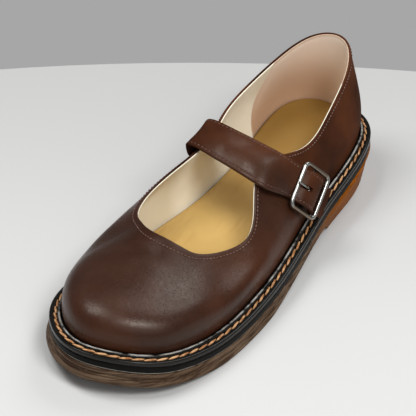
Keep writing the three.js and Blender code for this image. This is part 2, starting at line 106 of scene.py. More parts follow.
class Wire:
    def __init__(self, look, socket):
        self.look = look
        self.socket = socket

    def join(self, kind, first, second):
        return self.look.node("ShaderNodeMath", {"operation": kind}, {0: first, 1: second})

    def __add__(self, other):
        return self.join("ADD", self, other)

    def __sub__(self, other):
        return self.join("SUBTRACT", self, other)

    def __rsub__(self, other):
        return self.join("SUBTRACT", other, self)

    def __mul__(self, other):
        return self.join("MULTIPLY", self, other)

    __radd__, __rmul__ = __add__, __mul__


class Look:
    def __init__(self, name):
        self.material = bpy.data.materials.new(name)
        self.material.use_nodes = True
        self.tree = self.material.node_tree
        self.tree.nodes.clear()

    def node(self, kind, settings, sockets, out=0):
        made = self.tree.nodes.new(kind)
        for key, value in settings.items():
            setattr(made, key, value)
        for key, value in sockets.items():
            if isinstance(value, Wire):
                self.tree.links.new(value.socket, made.inputs[key])
            else:
                made.inputs[key].default_value = value
        return Wire(self, made.outputs[out]) if made.outputs else None

    def place(self):
        return self.node("ShaderNodeTexCoord", {}, {}, out=3)

    def stretched(self, scale):
        return self.node("ShaderNodeMapping", {}, {0: self.place(), 3: scale})

    def noise(self, scale, detail=3.0, where=None, roughness=0.5):
        return self.node("ShaderNodeTexNoise", {}, {
            "Vector": where or self.place(), "Scale": scale,
            "Detail": detail, "Roughness": roughness})

    def cells(self, scale):
        return self.node("ShaderNodeTexVoronoi", {}, {"Vector": self.place(), "Scale": scale})

    def band(self, value, low, high):
        return self.node("ShaderNodeMapRange", {"interpolation_type": "SMOOTHSTEP"}, {
            0: value, 1: low, 2: high})

    def mix(self, share, *colours):
        first, second = (tone(*c) if isinstance(c, tuple) else c for c in colours)
        return self.node("ShaderNodeMix", {"data_type": "RGBA"}, {
            0: share, 6: first, 7: second}, out=2)

    def blend(self, value, low, high, first, second):
        return self.mix(self.band(value, low, high), first, second)

    def mapAxis(self, axis):
        uv = self.node("ShaderNodeUVMap", {"uv_map": "UVMap"}, {})
        return self.node("ShaderNodeSeparateXYZ", {}, {0: uv}, out=axis)

    def objectAxis(self, axis):
        return self.node("ShaderNodeSeparateXYZ", {}, {0: self.place()}, out=axis)

    def close(self, colour, rough, specular, relief=None, others=None, dryShare=None):
        sockets = {"Base Color": colour, "Roughness": rough,
                   "Specular IOR Level": specular, **(others or {})}
        if relief:
            height, distance, strength = relief
            sockets["Normal"] = self.node("ShaderNodeBump", {}, {
                "Height": height, "Distance": distance, "Strength": strength})
        shader = self.node("ShaderNodeBsdfPrincipled", {}, sockets)
        if dryShare:
            dry = self.node("ShaderNodeBsdfPrincipled", {}, {**sockets, "Specular IOR Level": 0.0})
            shader = self.node("ShaderNodeMixShader", {}, {0: dryShare, 1: shader, 2: dry})
        self.node("ShaderNodeOutputMaterial", {}, {0: shader})
        return self.material


def tone(red, green, blue):
    def linear(value):
        share = value / 255
        return share / 12.92 if share <= 0.04045 else ((share + 0.055) / 1.055) ** 2.4
    return (linear(red), linear(green), linear(blue), 1)


# the last: the ribs of the upper and the profile of the sole, with y from the heel's back

last = {
    "soleLength": 272, "ballWidth": 104, "heelHeight": 31.2, "ballHeight": 15.4, "toeSpring": 11,
    "archRise": 6.5, "soleFlare": 2.4, "weltWidth": 7.5, "weltThickness": 3, "midsoleThickness": 5,
    "insoleThickness": 6, "collarHeight": 61, "upperWall": 2, "clearance": 0.3,
}
ribColumns = "along across topAlong topAcross topHeight rise lean reach roof".split()
ribRows = [
    (0, 0.01, 0.04, -0.02, 0.9, 0.36, 10, 0.3, 12),
    (0.02, -0.41, 0.054, -0.26, 0.85, 0.36, 10, 0.3, 12),
    (0.085, -0.69, 0.121, -0.42, 0.73, 0.34, 10, 0.26, 12),
    (0.19, -0.8, 0.224, -0.5, 0.625, 0.3, 10, 0.2, 14),
    (0.31, -0.825, 0.335, -0.5, 0.6, 0.28, 10, 0.2, 18),
    (0.43, -0.895, 0.449, -0.345, 0.75, 0.3, 12, 0.24, 24),
    (0.54, -0.96, 0.53, -0.51, 0.565, 0.3, 12, 0.24, 30),
    (0.65, -0.98, 0.583, -0.59, 0.445, 0.32, 10, 0.26, 38),
    (0.76, -0.945, 0.63, -0.5, 0.425, 0.36, 9, 0.34, 50),
    (0.86, -0.82, 0.684, -0.335, 0.485, 0.42, 8, 0.45, 62),
    (0.945, -0.53, 0.703, -0.17, 0.56, 0.5, 7, 0.6, 70),
    (0.998, 0.09, 0.707, 0.03, 0.61, 0.55, 6, 0.7, 72),
    (0.955, 0.61, 0.701, 0.25, 0.6, 0.55, 7, 0.6, 70),
    (0.87, 0.895, 0.681, 0.43, 0.555, 0.5, 8, 0.45, 60),
    (0.77, 0.96, 0.652, 0.59, 0.525, 0.44, 9, 0.34, 48),
    (0.66, 0.91, 0.598, 0.63, 0.57, 0.4, 10, 0.28, 36),
    (0.55, 0.79, 0.529, 0.5, 0.69, 0.36, 10, 0.26, 28),
    (0.43, 0.65, 0.451, 0.365, 0.8, 0.34, 10, 0.26, 22),
    (0.31, 0.62, 0.35, 0.46, 0.78, 0.34, 10, 0.26, 16),
    (0.19, 0.66, 0.241, 0.485, 0.745, 0.34, 10, 0.26, 14),
    (0.085, 0.62, 0.143, 0.4, 0.78, 0.36, 10, 0.28, 12),
    (0.02, 0.38, 0.071, 0.235, 0.86, 0.36, 10, 0.3, 12),
]
profileRows = [  # along, heel, toe, toeBelow, flare
    (0, 1, 0, 0, -1.4), (0.12, 0.975, 0, 0, -1.4),
    (0.28, 0.62, 0, 0, -1.2), (0.45, 0.27, 0, 0, 0),
    (0.62, 0.01, 0, 0, 0.9), (0.78, 0, 0.02, 0, 1),
    (0.9, 0, 0.46, 0.43, 1), (1, 0, 1.09, 0.9, 1),
]
ribCount = len(ribRows)
stepSet = {
    "sweeps": 60,              # corrections until the spline passes through the rows
    "plan": 0.05, "wall": 0.02, "top": 0.97,  # how near the points lie that give a direction
    "ring": 80,
}


def ribControlRows():
    controls = [list(row) for row in ribRows]
    for sweep in range(stepSet["sweeps"]):
        held = controls
        controls = [[
            value + ribRows[i][k] - (held[i - 1][k] + 4 * value + held[(i + 1) % ribCount][k]) / 6
            for k, value in enumerate(row)] for i, row in enumerate(held)]
    return controls


ribControls = ribControlRows()


@lru_cache(maxsize=None)
def ribAt(place):
    index = math.floor(place)
    u = place - index
    weights = ((1 - u) ** 3, 3 * u ** 3 - 6 * u * u + 4, 1 + 3 * u + 3 * u * u - 3 * u ** 3, u ** 3)
    near = [ribControls[(index + shift) % ribCount] for shift in (-1, 0, 1, 2)]
    return {name: sum(w * row[k] for w, row in zip(weights, near)) / 6
            for k, name in enumerate(ribColumns)}


@lru_cache(maxsize=None)
def profileAt(y):
    along = min(max(y / last["soleLength"], 0), 1)
    count = len(profileRows)
    i = max(k for k in range(count - 1) if profileRows[k][0] <= along)

    def slope(k, column):
        a, b = profileRows[max(k - 1, 0)], profileRows[min(k + 1, count - 1)]
        return (b[column] - a[column]) / (b[0] - a[0])

    a, b = profileRows[i], profileRows[i + 1]
    span = b[0] - a[0]
    u = (along - a[0]) / span
    return [a[c] * (1 + 2 * u) * (1 - u) ** 2 + b[c] * u * u * (3 - 2 * u)
            + span * (slope(i, c) * u * (1 - u) ** 2 + slope(i + 1, c) * u * u * (u - 1))
            for c in range(1, 5)]


def seatHeight(y):
    heel, toe = profileAt(y)[:2]
    heelRise = last["heelHeight"] - last["ballHeight"]
    return last["ballHeight"] + heel * heelRise + toe * last["toeSpring"]


def treadHeight(y):
    return max(0, profileAt(y)[2] * last["toeSpring"])


def above(base, rise):
    return lambda y: base(y) + rise


@lru_cache(maxsize=None)
def planPoint(place, top):
    rib = ribAt(place)
    across, along = ("topAcross", "topAlong") if top else ("across", "along")
    return Vector((rib[across] * last["ballWidth"] / 2, rib[along] * last["soleLength"]))


@lru_cache(maxsize=None)
def planNormal(place, top):
    step = stepSet["plan"]
    way = planPoint(place + step, top) - planPoint(place - step, top)
    return Vector((-way.y, way.x)).normalized()


def edgePoint(place, inset, height):
    edge = planPoint(place, False)
    inward = inset(edge.y) if callable(inset) else inset
    moved = edge - planNormal(place, False) * inward
    return Vector((moved.x, moved.y, height(moved.y)))


def wallFoot(place, inset):
    return edgePoint(place, inset, above(seatHeight, last["clearance"]))


@lru_cache(maxsize=None)
def ribCurve(place):
    rib = ribAt(place)
    foot = wallFoot(place, last["weltWidth"])
    footNormal, topNormal = planNormal(place, False), planNormal(place, True)
    topPlan = planPoint(place, True)
    topHeight = seatHeight(topPlan.y) + rib["topHeight"] * last["collarHeight"]
    top = Vector((topPlan.x, topPlan.y, topHeight))
    rise, reach = rib["rise"] * last["collarHeight"], rib["reach"] * last["collarHeight"]
    lean, roof = math.radians(rib["lean"]), math.radians(rib["roof"])
    outFoot, outTop = math.sin(lean) * rise, math.sin(roof) * reach
    low = foot + Vector((footNormal.x * outFoot, footNormal.y * outFoot, math.cos(lean) * rise))
    high = top + Vector((topNormal.x * outTop, topNormal.y * outTop, -math.cos(roof) * reach))
    return foot, low, high, top


def wallPoint(place, v):
    foot, low, high, top = ribCurve(place)
    return (foot * (1 - v) ** 3 + low * (3 * v * (1 - v) ** 2)
            + high * (3 * v * v * (1 - v)) + top * v ** 3)


@lru_cache(maxsize=None)
def wallNormal(place, v):
    step = stepSet["wall"]
    around = wallPoint(place + step, v) - wallPoint(place - step, v)
    upward = wallPoint(place, min(v + step, 1)) - wallPoint(place, max(v - step, 0))
    return -around.cross(upward).normalized()


def offWall(place, v, distance):
    return wallPoint(place, v) + wallNormal(place, v) * distance


# a half turn over the wall's top edge; a side of 1 starts it inside and a side of -1 outside
def rimPoint(place, top, depth, radius, angle, side):
    upward = (wallPoint(place, 1) - wallPoint(place, stepSet["top"])).normalized()
    inward = wallNormal(place, top) * -(depth + side * radius * math.cos(angle))
    return wallPoint(place, top) + inward + upward * radius * math.sin(angle)


def flatRing(inset, count):
    return [edgePoint(k * ribCount / count, inset, lambda y: 0) for k in range(count)]


def lastShift():
    ring = flatRing(0, stepSet["ring"])
    half = 0.5 / toMetres
    low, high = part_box("midsole")
    middle = [(min(p[k] for p in ring) + max(p[k] for p in ring)) / 2 for k in (0, 1)]
    return Vector(((low.x + high.x) * half - middle[0], (low.y + high.y) * half - middle[1], 0))


def toWorld(point):
    return (point + shift) * toMetres


shift = lastShift()
print("shift of the last:", tuple(round(value, 3) for value in shift))

# modelling helpers

mergeDistance = 0.00001
threadBall = {"segments": 8, "ring_count": 6, "radius": 0.0005}


def selectNone():
    bpy.ops.object.select_all(action="DESELECT")


def setMode(mode):
    bpy.ops.object.mode_set(mode=mode)


def onlySelect(*objects):
    selectNone()
    for chosen in objects:
        chosen.select_set(True)
    bpy.context.view_layer.objects.active = objects[0]


def bendGrid(name, columns, rows, pointAt):
    selectNone()
    bpy.ops.mesh.primitive_grid_add(x_subdivisions=columns, y_subdivisions=rows, size=1)
    piece = bpy.context.object
    piece.name = piece.data.name = name
    for vertex in piece.data.vertices:
        u = round((vertex.co.x + 0.5) * columns) / columns
        w = round((vertex.co.y + 0.5) * rows) / rows
        vertex.co = toWorld(pointAt(u, w))
    closeMesh(piece)
    return piece


def closeMesh(piece):
    onlySelect(piece)
    setMode("EDIT")
    bpy.ops.mesh.select_all(action="SELECT")
    bpy.ops.mesh.remove_doubles(threshold=mergeDistance)
    bpy.ops.mesh.normals_make_consistent(inside=False)
    setMode("OBJECT")
    bpy.ops.object.shade_smooth()


def fillEnds(piece):
    onlySelect(piece)
    setMode("EDIT")
    bpy.ops.mesh.select_mode(type="EDGE")
    bpy.ops.mesh.select_all(action="DESELECT")
    bpy.ops.mesh.select_non_manifold()
    bpy.ops.mesh.fill_holes(sides=0)
    bpy.ops.mesh.select_all(action="SELECT")
    bpy.ops.mesh.normals_make_consistent(inside=False)
    bpy.ops.mesh.select_mode(type="VERT")
    setMode("OBJECT")


def joinPieces(name, pieces):
    onlySelect(*pieces)
    bpy.ops.object.join()
    joined = bpy.context.object
    joined.name = joined.data.name = name
    return joined


def smoothBelow(piece, degrees):
    onlySelect(piece)
    bpy.ops.object.shade_smooth_by_angle(angle=math.radians(degrees))


def useModifier(piece, kind, **settings):
    onlySelect(piece)
    bpy.ops.object.modifier_add(type=kind)
    modifier = piece.modifiers[-1]
    for key, value in settings.items():
        setattr(modifier, key, value)
    bpy.ops.object.modifier_apply(modifier=modifier.name)


def cutOut(piece, tool):
    useModifier(piece, "BOOLEAN", operation="DIFFERENCE", object=tool, solver="EXACT")
    bpy.data.objects.remove(tool)


def dressPiece(piece, material, slotName, *nodes):
    piece.data.materials.clear()
    piece.data.materials.append(material)
    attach(piece, "root")
    if nodes:
        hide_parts(*nodes)
    return piece


def stitchRow(name, spots, size, material, slotName):
    selectNone()
    bpy.ops.mesh.primitive_uv_sphere_add(**threadBall)
    model = bpy.context.object
    setMode("EDIT")
    bpy.ops.transform.resize(value=size)
    setMode("OBJECT")
    copies = []
    for point, way, facing in spots:
        along = way.normalized()
        across = facing.cross(along).normalized()
        mesh = model.data.copy()
        mesh.transform(axesMatrix(along, across, along.cross(across), toWorld(point)))
        copy = bpy.data.objects.new(name, mesh)
        bpy.context.collection.objects.link(copy)
        copies.append(copy)
    bpy.data.objects.remove(model)
    row = joinPieces(name, copies)
    bpy.ops.object.shade_smooth()
    return dressPiece(row, material, slotName)


def evenSpots(pointAt, facingAt, start, stop, pitch, samples=1200, slant=0.0):
    points = [pointAt(start + (stop - start) * k / samples) for k in range(samples + 1)]
    reached, total = [0.0], 0.0
    for a, b in zip(points, points[1:]):
        total += (b - a).length
        reached.append(total)
    count = max(2, round(total / pitch))
    spots, k = [], 0
    for i in range(count):
        wanted = (i + 0.5) * total / count
        while reached[k + 1] < wanted:
            k += 1
        share = (wanted - reached[k]) / (reached[k + 1] - reached[k])
        t = start + (stop - start) * (k + share) / samples
        facing = facingAt(t)
        way = points[k + 1] - points[k]
        way = (Matrix.Rotation(slant, 3, facing) @ way) if slant else way
        spots.append((points[k].lerp(points[k + 1], share), way, facing))
    return spots


# a smooth line through unevenly spaced points
def curveThrough(points, t):
    span = (len(points) - 1) * t
    k = min(int(span), len(points) - 2)
    u = span - k
    b, c = points[k], points[k + 1]
    a = points[k - 1] if k > 0 else b * 2 - c
    d = points[k + 2] if k + 2 < len(points) else c * 2 - b
    first, middle, end = ((q - p).length ** 0.5 or 1e-3 for p, q in ((a, b), (b, c), (c, d)))
    start = ((b - a) / first - (c - a) / (first + middle) + (c - b) / middle) * middle
    stop = ((c - b) / middle - (d - b) / (middle + end) + (d - c) / end) * middle
    return (b + start * u + (c * 3 - b * 3 - start * 2 - stop) * u * u
            + (b * 2 - c * 2 + start + stop) * u ** 3)


# finishes; noise scales count per metre, and bands on an object axis are places in metres


def brownLeather():
    look = Look("brownLeather")
    cloud = look.noise(22)
    patch = look.noise(60, 4, roughness=0.6)
    grain = look.noise(1500, 3, roughness=0.6)
    dust = look.noise(420, 4, roughness=0.65)
    pores = look.cells(900)
    across, along, height = (look.objectAxis(axis) for axis in range(3))
    rear = look.band(along, 0.012, -0.05)
    warm = look.blend(height, 0.02, 0.05, (70, 37, 21), look.mix(rear, (57, 33, 23), (84, 47, 28)))
    deep = look.blend(cloud, 0.35, 0.65, warm, (48, 27, 18))
    colour = look.mix(look.band(patch, 0.45, 0.75) * 0.35, deep, (66, 41, 29))
    rough = 0.25 + 0.08 * look.band(patch, 0.3, 0.7) + 0.07 * look.band(dust, 0.35, 0.65)
    relief = grain * 0.5 + look.band(pores, 0.0, 0.35) * 0.6 + patch * 0.8 + dust * 1.2
    # the quarters and the strap's sewn end shine less
    dry = rear + look.band(height, 0.045, 0.055) * look.band(across, 0.002, 0.02)
    return look.close(colour, rough, 0.27, (relief, 0.00014, 0.6),
                      {"Specular Tint": (1, 0.92, 0.82, 1)}, dry * 0.9)


# the heel's own lining lies between two seams; places on the ribs, and how far they drift upward
heelSeams = {
    "outer": 3.2, "outerDrift": 1.0, "outerRise": (0.05, 0.8),
    "inner": 18.72, "innerDrift": 1.05, "innerRise": (0.05, 0.85), "blend": 0.03,
}


def heelShare(place, rise, band):
    outer = heelSeams["outer"] - heelSeams["outerDrift"] * band(rise, *heelSeams["outerRise"])
    inner = heelSeams["inner"] + heelSeams["innerDrift"] * band(rise, *heelSeams["innerRise"])
    blend = heelSeams["blend"]
    return 1 - band(place - outer, -blend, blend) * band(inner - place, -blend, blend)


def creamLining():
    look = Look("creamLining")
    rise = look.mapAxis(1)
    cloud = look.noise(40, 4)
    grain = look.noise(1300)
    heel = heelShare(look.mapAxis(0) * ribCount, rise, look.band)
    # painted shade: the cream lining is darker towards the toe
    cream = look.blend(look.objectAxis(1), -0.004, 0.01, (250, 244, 225), (228, 217, 191))
    cream = look.mix(look.band(cloud, 0.3, 0.7) * 0.3, cream, (214, 202, 174))
    # painted light and shade: the heel lining is paler on the outer side and darker on the inner
    # side
    wearAndShade = look.band(look.objectAxis(0), -0.02, 0.012)
    low = look.mix(wearAndShade, (255, 234, 210), (190, 155, 126))
    # painted shade: the heel lining darkens from the top down
    rose = look.blend(rise, 0.1, 0.65, low, look.mix(wearAndShade, (255, 243, 228), (244, 224, 206)))
    edge = look.mix(heel, (244, 236, 216), (188, 158, 132))
    colour = look.mix(look.band(rise, 0.7, 0.735) * 0.85, look.mix(heel, cream, rose), edge)
    return look.close(colour, 0.62 + 0.1 * cloud, 0.3, (grain * 0.6 + cloud * 0.6, 0.0001, 0.5))


def tanSock():
    look = Look("tanSock")
    cloud = look.noise(18, 4, roughness=0.55)
    streak = look.noise(60, 4, look.stretched((3, 0.5, 1)))
    grain = look.noise(1400)
    # painted shade: the sock darkens towards the heel, deep inside the shoe
    back = look.band(look.objectAxis(1), -0.012, -0.08)
    base = look.blend(cloud, 0.3, 0.7, (196, 163, 98), (184, 148, 82))
    wearAndShade = look.mix(look.band(streak, 0.5, 0.8) * 0.5, base, (170, 130, 66))
    heel = look.mix(back * 0.85, wearAndShade, (126, 92, 34))
    colour = look.mix((1 - look.band(look.cells(34), 0.01, 0.05)) * 0.5, heel, (120, 80, 40))
    return look.close(colour, 0.55 + 0.1 * cloud, 0.3, (grain * 0.5 + cloud, 0.00012, 0.5))


def blackRubber():
    look = Look("blackRubber")
    cloud = look.noise(50, 4)
    grain = look.noise(900)
    dust = look.noise(160, 5, roughness=0.7)
    colour = look.blend(cloud, 0.3, 0.75, (13, 12, 10), (24, 22, 18))
    colour = look.mix(look.band(dust, 0.62, 0.8) * 0.2, colour, (56, 52, 44))
    # painted highlight: a pale line along the bead's crest stands in for its gloss
    rise = look.mapAxis(1)
    crestHighlight = look.band(rise, 0.56, 0.6) * (1 - look.band(rise, 0.625, 0.665))
    patchy = look.band(look.noise(90, 5, roughness=0.6), 0.38, 0.56)
    colour = look.mix(crestHighlight * patchy * 0.85, colour, (176, 172, 166))
    rough = 0.24 + 0.16 * look.band(dust, 0.4, 0.8)
    return look.close(colour, rough, 0.12, (grain + cloud * 2, 0.00006, 0.6),
                      {"Coat Weight": 0.22, "Coat Roughness": 0.12})


def bandRubber():
    look = Look("bandRubber")
    streak = look.noise(120, 5, look.stretched((1, 1, 6)), 0.65)
    grain = look.noise(900)
    # painted highlight: a pale line runs along the lower edge
    rise = look.mapAxis(1)
    line = look.band(rise, 0.03, 0.08) * (1 - look.band(rise, 0.22, 0.27))
    colour = look.blend(streak, 0.55, 0.85, (10, 9, 8), (28, 25, 20))
    colour = look.mix(line * look.band(streak, 0.3, 0.5) * 0.9, colour, (176, 172, 162))
    return look.close(colour, 0.4 + 0.2 * streak, 0.08, (grain * 0.6 + streak * 0.6, 0.00006, 0.5))


def brownSole():
    look = Look("brownSole")
    back = look.band(look.objectAxis(1), -0.02, -0.075)
    line = look.noise(55, 5, look.stretched((1, 1, 24)), 0.55)
    cloud = look.noise(26, 4, roughness=0.6)
    scratch = look.noise(700, 4, look.stretched((1, 1, 12)), 0.7)
    front = look.blend(line, 0.38, 0.62, (58, 41, 30), (108, 88, 70))
    amber = look.blend(line, 0.3, 0.7, (158, 86, 0), (110, 60, 2))
    stain = look.band(cloud, 0.45, 0.75) * (0.5 - 0.3 * back)
    # partly scratches, partly painted highlight: pale streaks stand in for the sole's gloss
    scratchesAndSheen = look.band(scratch, 0.56, 0.74) * (0.55 - 0.5 * back)
    colour = look.mix(stain, look.mix(back, front, amber), (64, 42, 24))
    colour = look.mix(scratchesAndSheen, colour, (160, 148, 132))
    return look.close(colour, 0.36 + 0.25 * line, 0.05, (line + scratch * 0.7, 0.00035, 0.7))


def waxedThread(name, dark, light):
    look = Look(name)
    twist = look.node("ShaderNodeTexWave", {"wave_type": "BANDS", "bands_direction": "DIAGONAL"}, {
        "Vector": look.place(), "Scale": 900.0, "Distortion": 2.0})
    colour = look.blend(look.noise(300), 0.3, 0.7, dark, light)
    return look.close(look.mix(twist * 0.35, colour, dark), 0.5, 0.4, (twist, 0.00012, 0.8))


def brightMetal():
    look = Look("brightMetal")
    cloud = look.noise(120, 4)
    scratch = look.noise(800, 4, look.stretched((6, 1, 1)), 0.7)
    # painted reflection: the two sides along the strap are duller and browner, a brown reflection
    # painted into the metal
    path = look.mapAxis(0)
    near = look.band(path, 0.09, 0.16) * (1 - look.band(path, 0.24, 0.31))
    far = look.band(path, 0.59, 0.66) * (1 - look.band(path, 0.74, 0.81))
    colour = look.blend(cloud, 0.3, 0.7, (164, 164, 160), (146, 146, 142))
    colour = look.mix((near + far) * 0.7, colour, (112, 88, 64))
    rough = 0.3 + 0.1 * look.band(scratch, 0.5, 0.8)
    return look.close(colour, rough, 0.5, (cloud, 0.00001, 0.2), {"Metallic": 1.0})


leather = brownLeather()
lining = creamLining()
sock = tanSock()
weltBlack = blackRubber()
bandBlack = bandRubber()
soleBrown = brownSole()
weltThread = waxedThread("weltThread", (158, 104, 60), (234, 184, 134))
toneThread = waxedThread("toneThread", (70, 46, 39), (116, 86, 75))
edgeThread = waxedThread("edgeThread", (86, 60, 51), (132, 102, 89))
metal = brightMetal()
print("finishes made")

# upper: outer leather, its folded edge and the creases

upperSet = {
    "columns": 396, "rows": (48, 6, 10),  # on the wall, over the edge, inside
    "thickness": 1.3, "top": 0.99,  # the share of the wall where the edge folds over
    "waves": 0.045, "waveDepth": 0.25, "fadeLow": 5, "fadeTop": 12,
    "creases": [  # from place, from rise, to place, to rise, width, depth
        (8.6, 0.55, 7.6, 0.95, 6, 0.2), (14.2, 0.5, 14.9, 0.92, 6.5, 0.28),
        (6.6, 0.3, 7.3, 0.85, 6, 0.25), (5.9, 0.15, 6.5, 0.7, 4.5, 0.35),
        (3.2, 0.25, 3.9, 0.8, 5, 0.3), (2, 0.3, 2.7, 0.75, 5.5, 0.3),
        (10.4, 0.86, 11.8, 0.88, 4, 0.3), (16.6, 0.25, 15.9, 0.75, 5, 0.3),
        (20.6, 0.3, 19.8, 0.8, 6, 0.3)],
    "creaseReach": 4, "creaseEnds": 0.08, "leastDepth": 0.35, "ridge": 0.45, "ridgeAt": 1.9,
}
creaseList = [(wallPoint(a, b), wallPoint(c, d), width, depth)
              for a, b, c, d, width, depth in upperSet["creases"]]


# a furrow with a low ridge at both sides; far is measured in its widths
def creaseShape(far, share, depth, settings):
    ends, least = settings["creaseEnds"], settings["leastDepth"]
    taper = least + (1 - least) * math.sin(math.pi * min(max(share, ends), 1 - ends))
    ridge = settings["ridge"] * math.exp(-(abs(far) - settings["ridgeAt"]) ** 2)
    return depth * taper * (math.exp(-far * far) - ridge)


def creaseDepth(point):
    total = 0.0
    for start, end, width, depth in creaseList:
        way = end - start
        share = min(max((point - start).dot(way) / way.length_squared, 0), 1)
        far = (point - start - way * share).length / width
        if far < upperSet["creaseReach"]:
            total += creaseShape(far, share, depth, upperSet)
    return total


def upperPoint(u, w):
    place = u * ribCount % ribCount
    wall, rim, inside = upperSet["rows"]
    row = w * (wall + rim + inside + 1)
    radius, top = upperSet["thickness"] / 2, upperSet["top"]
    if row <= wall:
        v = top * row / wall
        outer = wallPoint(place, v)
        soft = noise.noise(outer * upperSet["waves"]) * upperSet["waveDepth"]
        fade = min(1, v * upperSet["fadeLow"]) * min(1, (top - v) * upperSet["fadeTop"])
        return outer + wallNormal(place, v) * (soft - creaseDepth(outer)) * fade
    if row <= wall + rim:
        return rimPoint(place, top, radius, radius, math.pi * (row - wall) / rim, -1)
    if row > wall + rim + inside:
        return wallPoint(place, 0)
    share = min((row - wall - rim) / inside, 1)
    return offWall(place, top * (1 - share), -upperSet["thickness"])


outer = bendGrid("upperLeather", upperSet["columns"], sum(upperSet["rows"]) + 1, upperPoint)
dressPiece(outer, leather, "brown_leather", "upper")
print("upper made:", len(outer.data.polygons), "faces")

# lining: cream in front, its own piece at the heel, with a rolled edge at the top line

liningSet = {
    "columns": 308, "rows": (32, 6, 5),  # shown, over the edge, hidden
    "outer": 1.35, "inner": 2.0, "step": 0.35,  # depths under the upper's outer side
    "top": 0.99, "fade": 14,
}


def smoothBand(value, low, high):
    share = min(max((value - low) / (high - low), 0), 1)
    return share * share * (3 - 2 * share)


def liningPoint(u, w):
    place = u * ribCount % ribCount
    shown, rim, hidden = liningSet["rows"]
    row = w * (shown + rim + hidden + 1)
    top, low, high = (liningSet[key] for key in ("top", "outer", "inner"))
    radius = (high - low) / 2
    if row == 0:
        return wallFoot(place, last["weltWidth"] + last["upperWall"])
    if row <= shown:
        v = top * row / shown
        step = liningSet["step"] * heelShare(place, row / shown, smoothBand)
        return offWall(place, v, -(high + step * min(1, (top - v) * liningSet["fade"])))
    if row <= shown + rim:
        return rimPoint(place, top, low + radius, radius, math.pi * (row - shown) / rim, 1)
    share = min((row - shown - rim) / hidden, 1)
    return offWall(place, top * (1 - share), -low)


inner = bendGrid("lining", liningSet["columns"], sum(liningSet["rows"]) + 1, liningPoint)
dressPiece(inner, lining, "tan_leather")
print("lining made")

# insole sock: a soft dished sheet

sockSet = {
    "columns": 150, "rows": 48, "thickness": 5.4, "lift": 0.35, "dish": 0.9, "ends": 6,
    "roll": 1.2, "rollFrom": 0.95, "waves": 0.03, "waveDepth": 0.3,
}
insoleInset = last["weltWidth"] + last["upperWall"] + last["clearance"] * 2
weltLow = above(seatHeight, -last["weltThickness"])


def acrossSole(u, w, inset, height):
    place = u * ribCount / 2
    left, right = (edgePoint(at % ribCount, inset, height) for at in (place, ribCount - place))
    if w in (0, 1):
        return (left, right)[round(w)]
    point = left.lerp(right, w)
    return Vector((point.x, point.y, height(point.y)))


def sockPoint(u, w):
    point = acrossSole(u, w, insoleInset, above(weltLow, last["insoleThickness"]))
    side, ends, rollFrom = abs(2 * w - 1), sockSet["ends"], sockSet["rollFrom"]
    dish = -sockSet["dish"] * (1 - side ** 3) * min(1, ends * u) * min(1, ends * (1 - u))
    roll = -sockSet["roll"] * max(0, (side - rollFrom) / (1 - rollFrom)) ** 2
    soft = noise.noise(point * sockSet["waves"]) * sockSet["waveDepth"]
    return point + Vector((0, 0, dish + roll + soft + sockSet["lift"]))


insole = bendGrid("insoleSock", sockSet["columns"], sockSet["rows"], sockPoint)
sockFaces = insole.data.polygons
if sockFaces[len(sockFaces) // 2].normal.z < 0:
    insole.data.flip_normals()
useModifier(insole, "SOLIDIFY", thickness=sockSet["thickness"] * toMetres, offset=-1)
dressPiece(insole, sock, "tan_leather", "insole")
print("insole made")

# welt: lip, stitch groove and raised bead

weltSet = {
    "columns": 440, "ripples": 95, "ripple": 0.06, "bead": (4.3, 6.8),
    "section": [  # inset from the edge and height over the seat
        (0, -3), (0, -1.8), (0, -0.9), (0.12, -0.4), (0.4, -0.1), (0.8, 0),
        (1.6, 0.04), (2.2, 0), (2.45, -0.12), (2.7, -0.5), (3, -0.8), (3.4, -0.9),
        (3.8, -0.8), (4.1, -0.5), (4.3, 0.1), (4.45, 0.7), (4.7, 1.25), (5.1, 1.65),
        (5.6, 1.82), (6.1, 1.75), (6.5, 1.4), (6.75, 0.8), (6.9, 0), (7.6, -0.05),
        (9, -0.05), (9.8, -0.1), (9.8, -1.5), (9.8, -3), (5, -3)],
}


def weltPoint(u, w):
    place = u * ribCount % ribCount
    count = len(weltSet["section"])
    inset, height = weltSet["section"][round(w * count) % count]
    if weltSet["bead"][0] < inset < weltSet["bead"][1]:
        height += weltSet["ripple"] * math.sin(u * 2 * math.pi * weltSet["ripples"])
    return edgePoint(place, inset, above(seatHeight, height))


welt = bendGrid("weltStrip", weltSet["columns"], len(weltSet["section"]), weltPoint)
dressPiece(welt, weltBlack, "black_rubber", "welt")

stitchSet = {"pitch": 6.7, "size": (8.0, 1.4, 1.3), "inset": 3.4, "height": -0.1, "slant": 0.15}
weltSpots = evenSpots(
    lambda t: edgePoint(t, stitchSet["inset"], above(seatHeight, stitchSet["height"])),
    lambda t: upAxis, 0, ribCount, stitchSet["pitch"], slant=stitchSet["slant"])
stitchRow("weltStitches", weltSpots, stitchSet["size"], weltThread, "tan_leather")
print("welt made with", len(weltSpots), "stitches")

# midsole band and sole unit

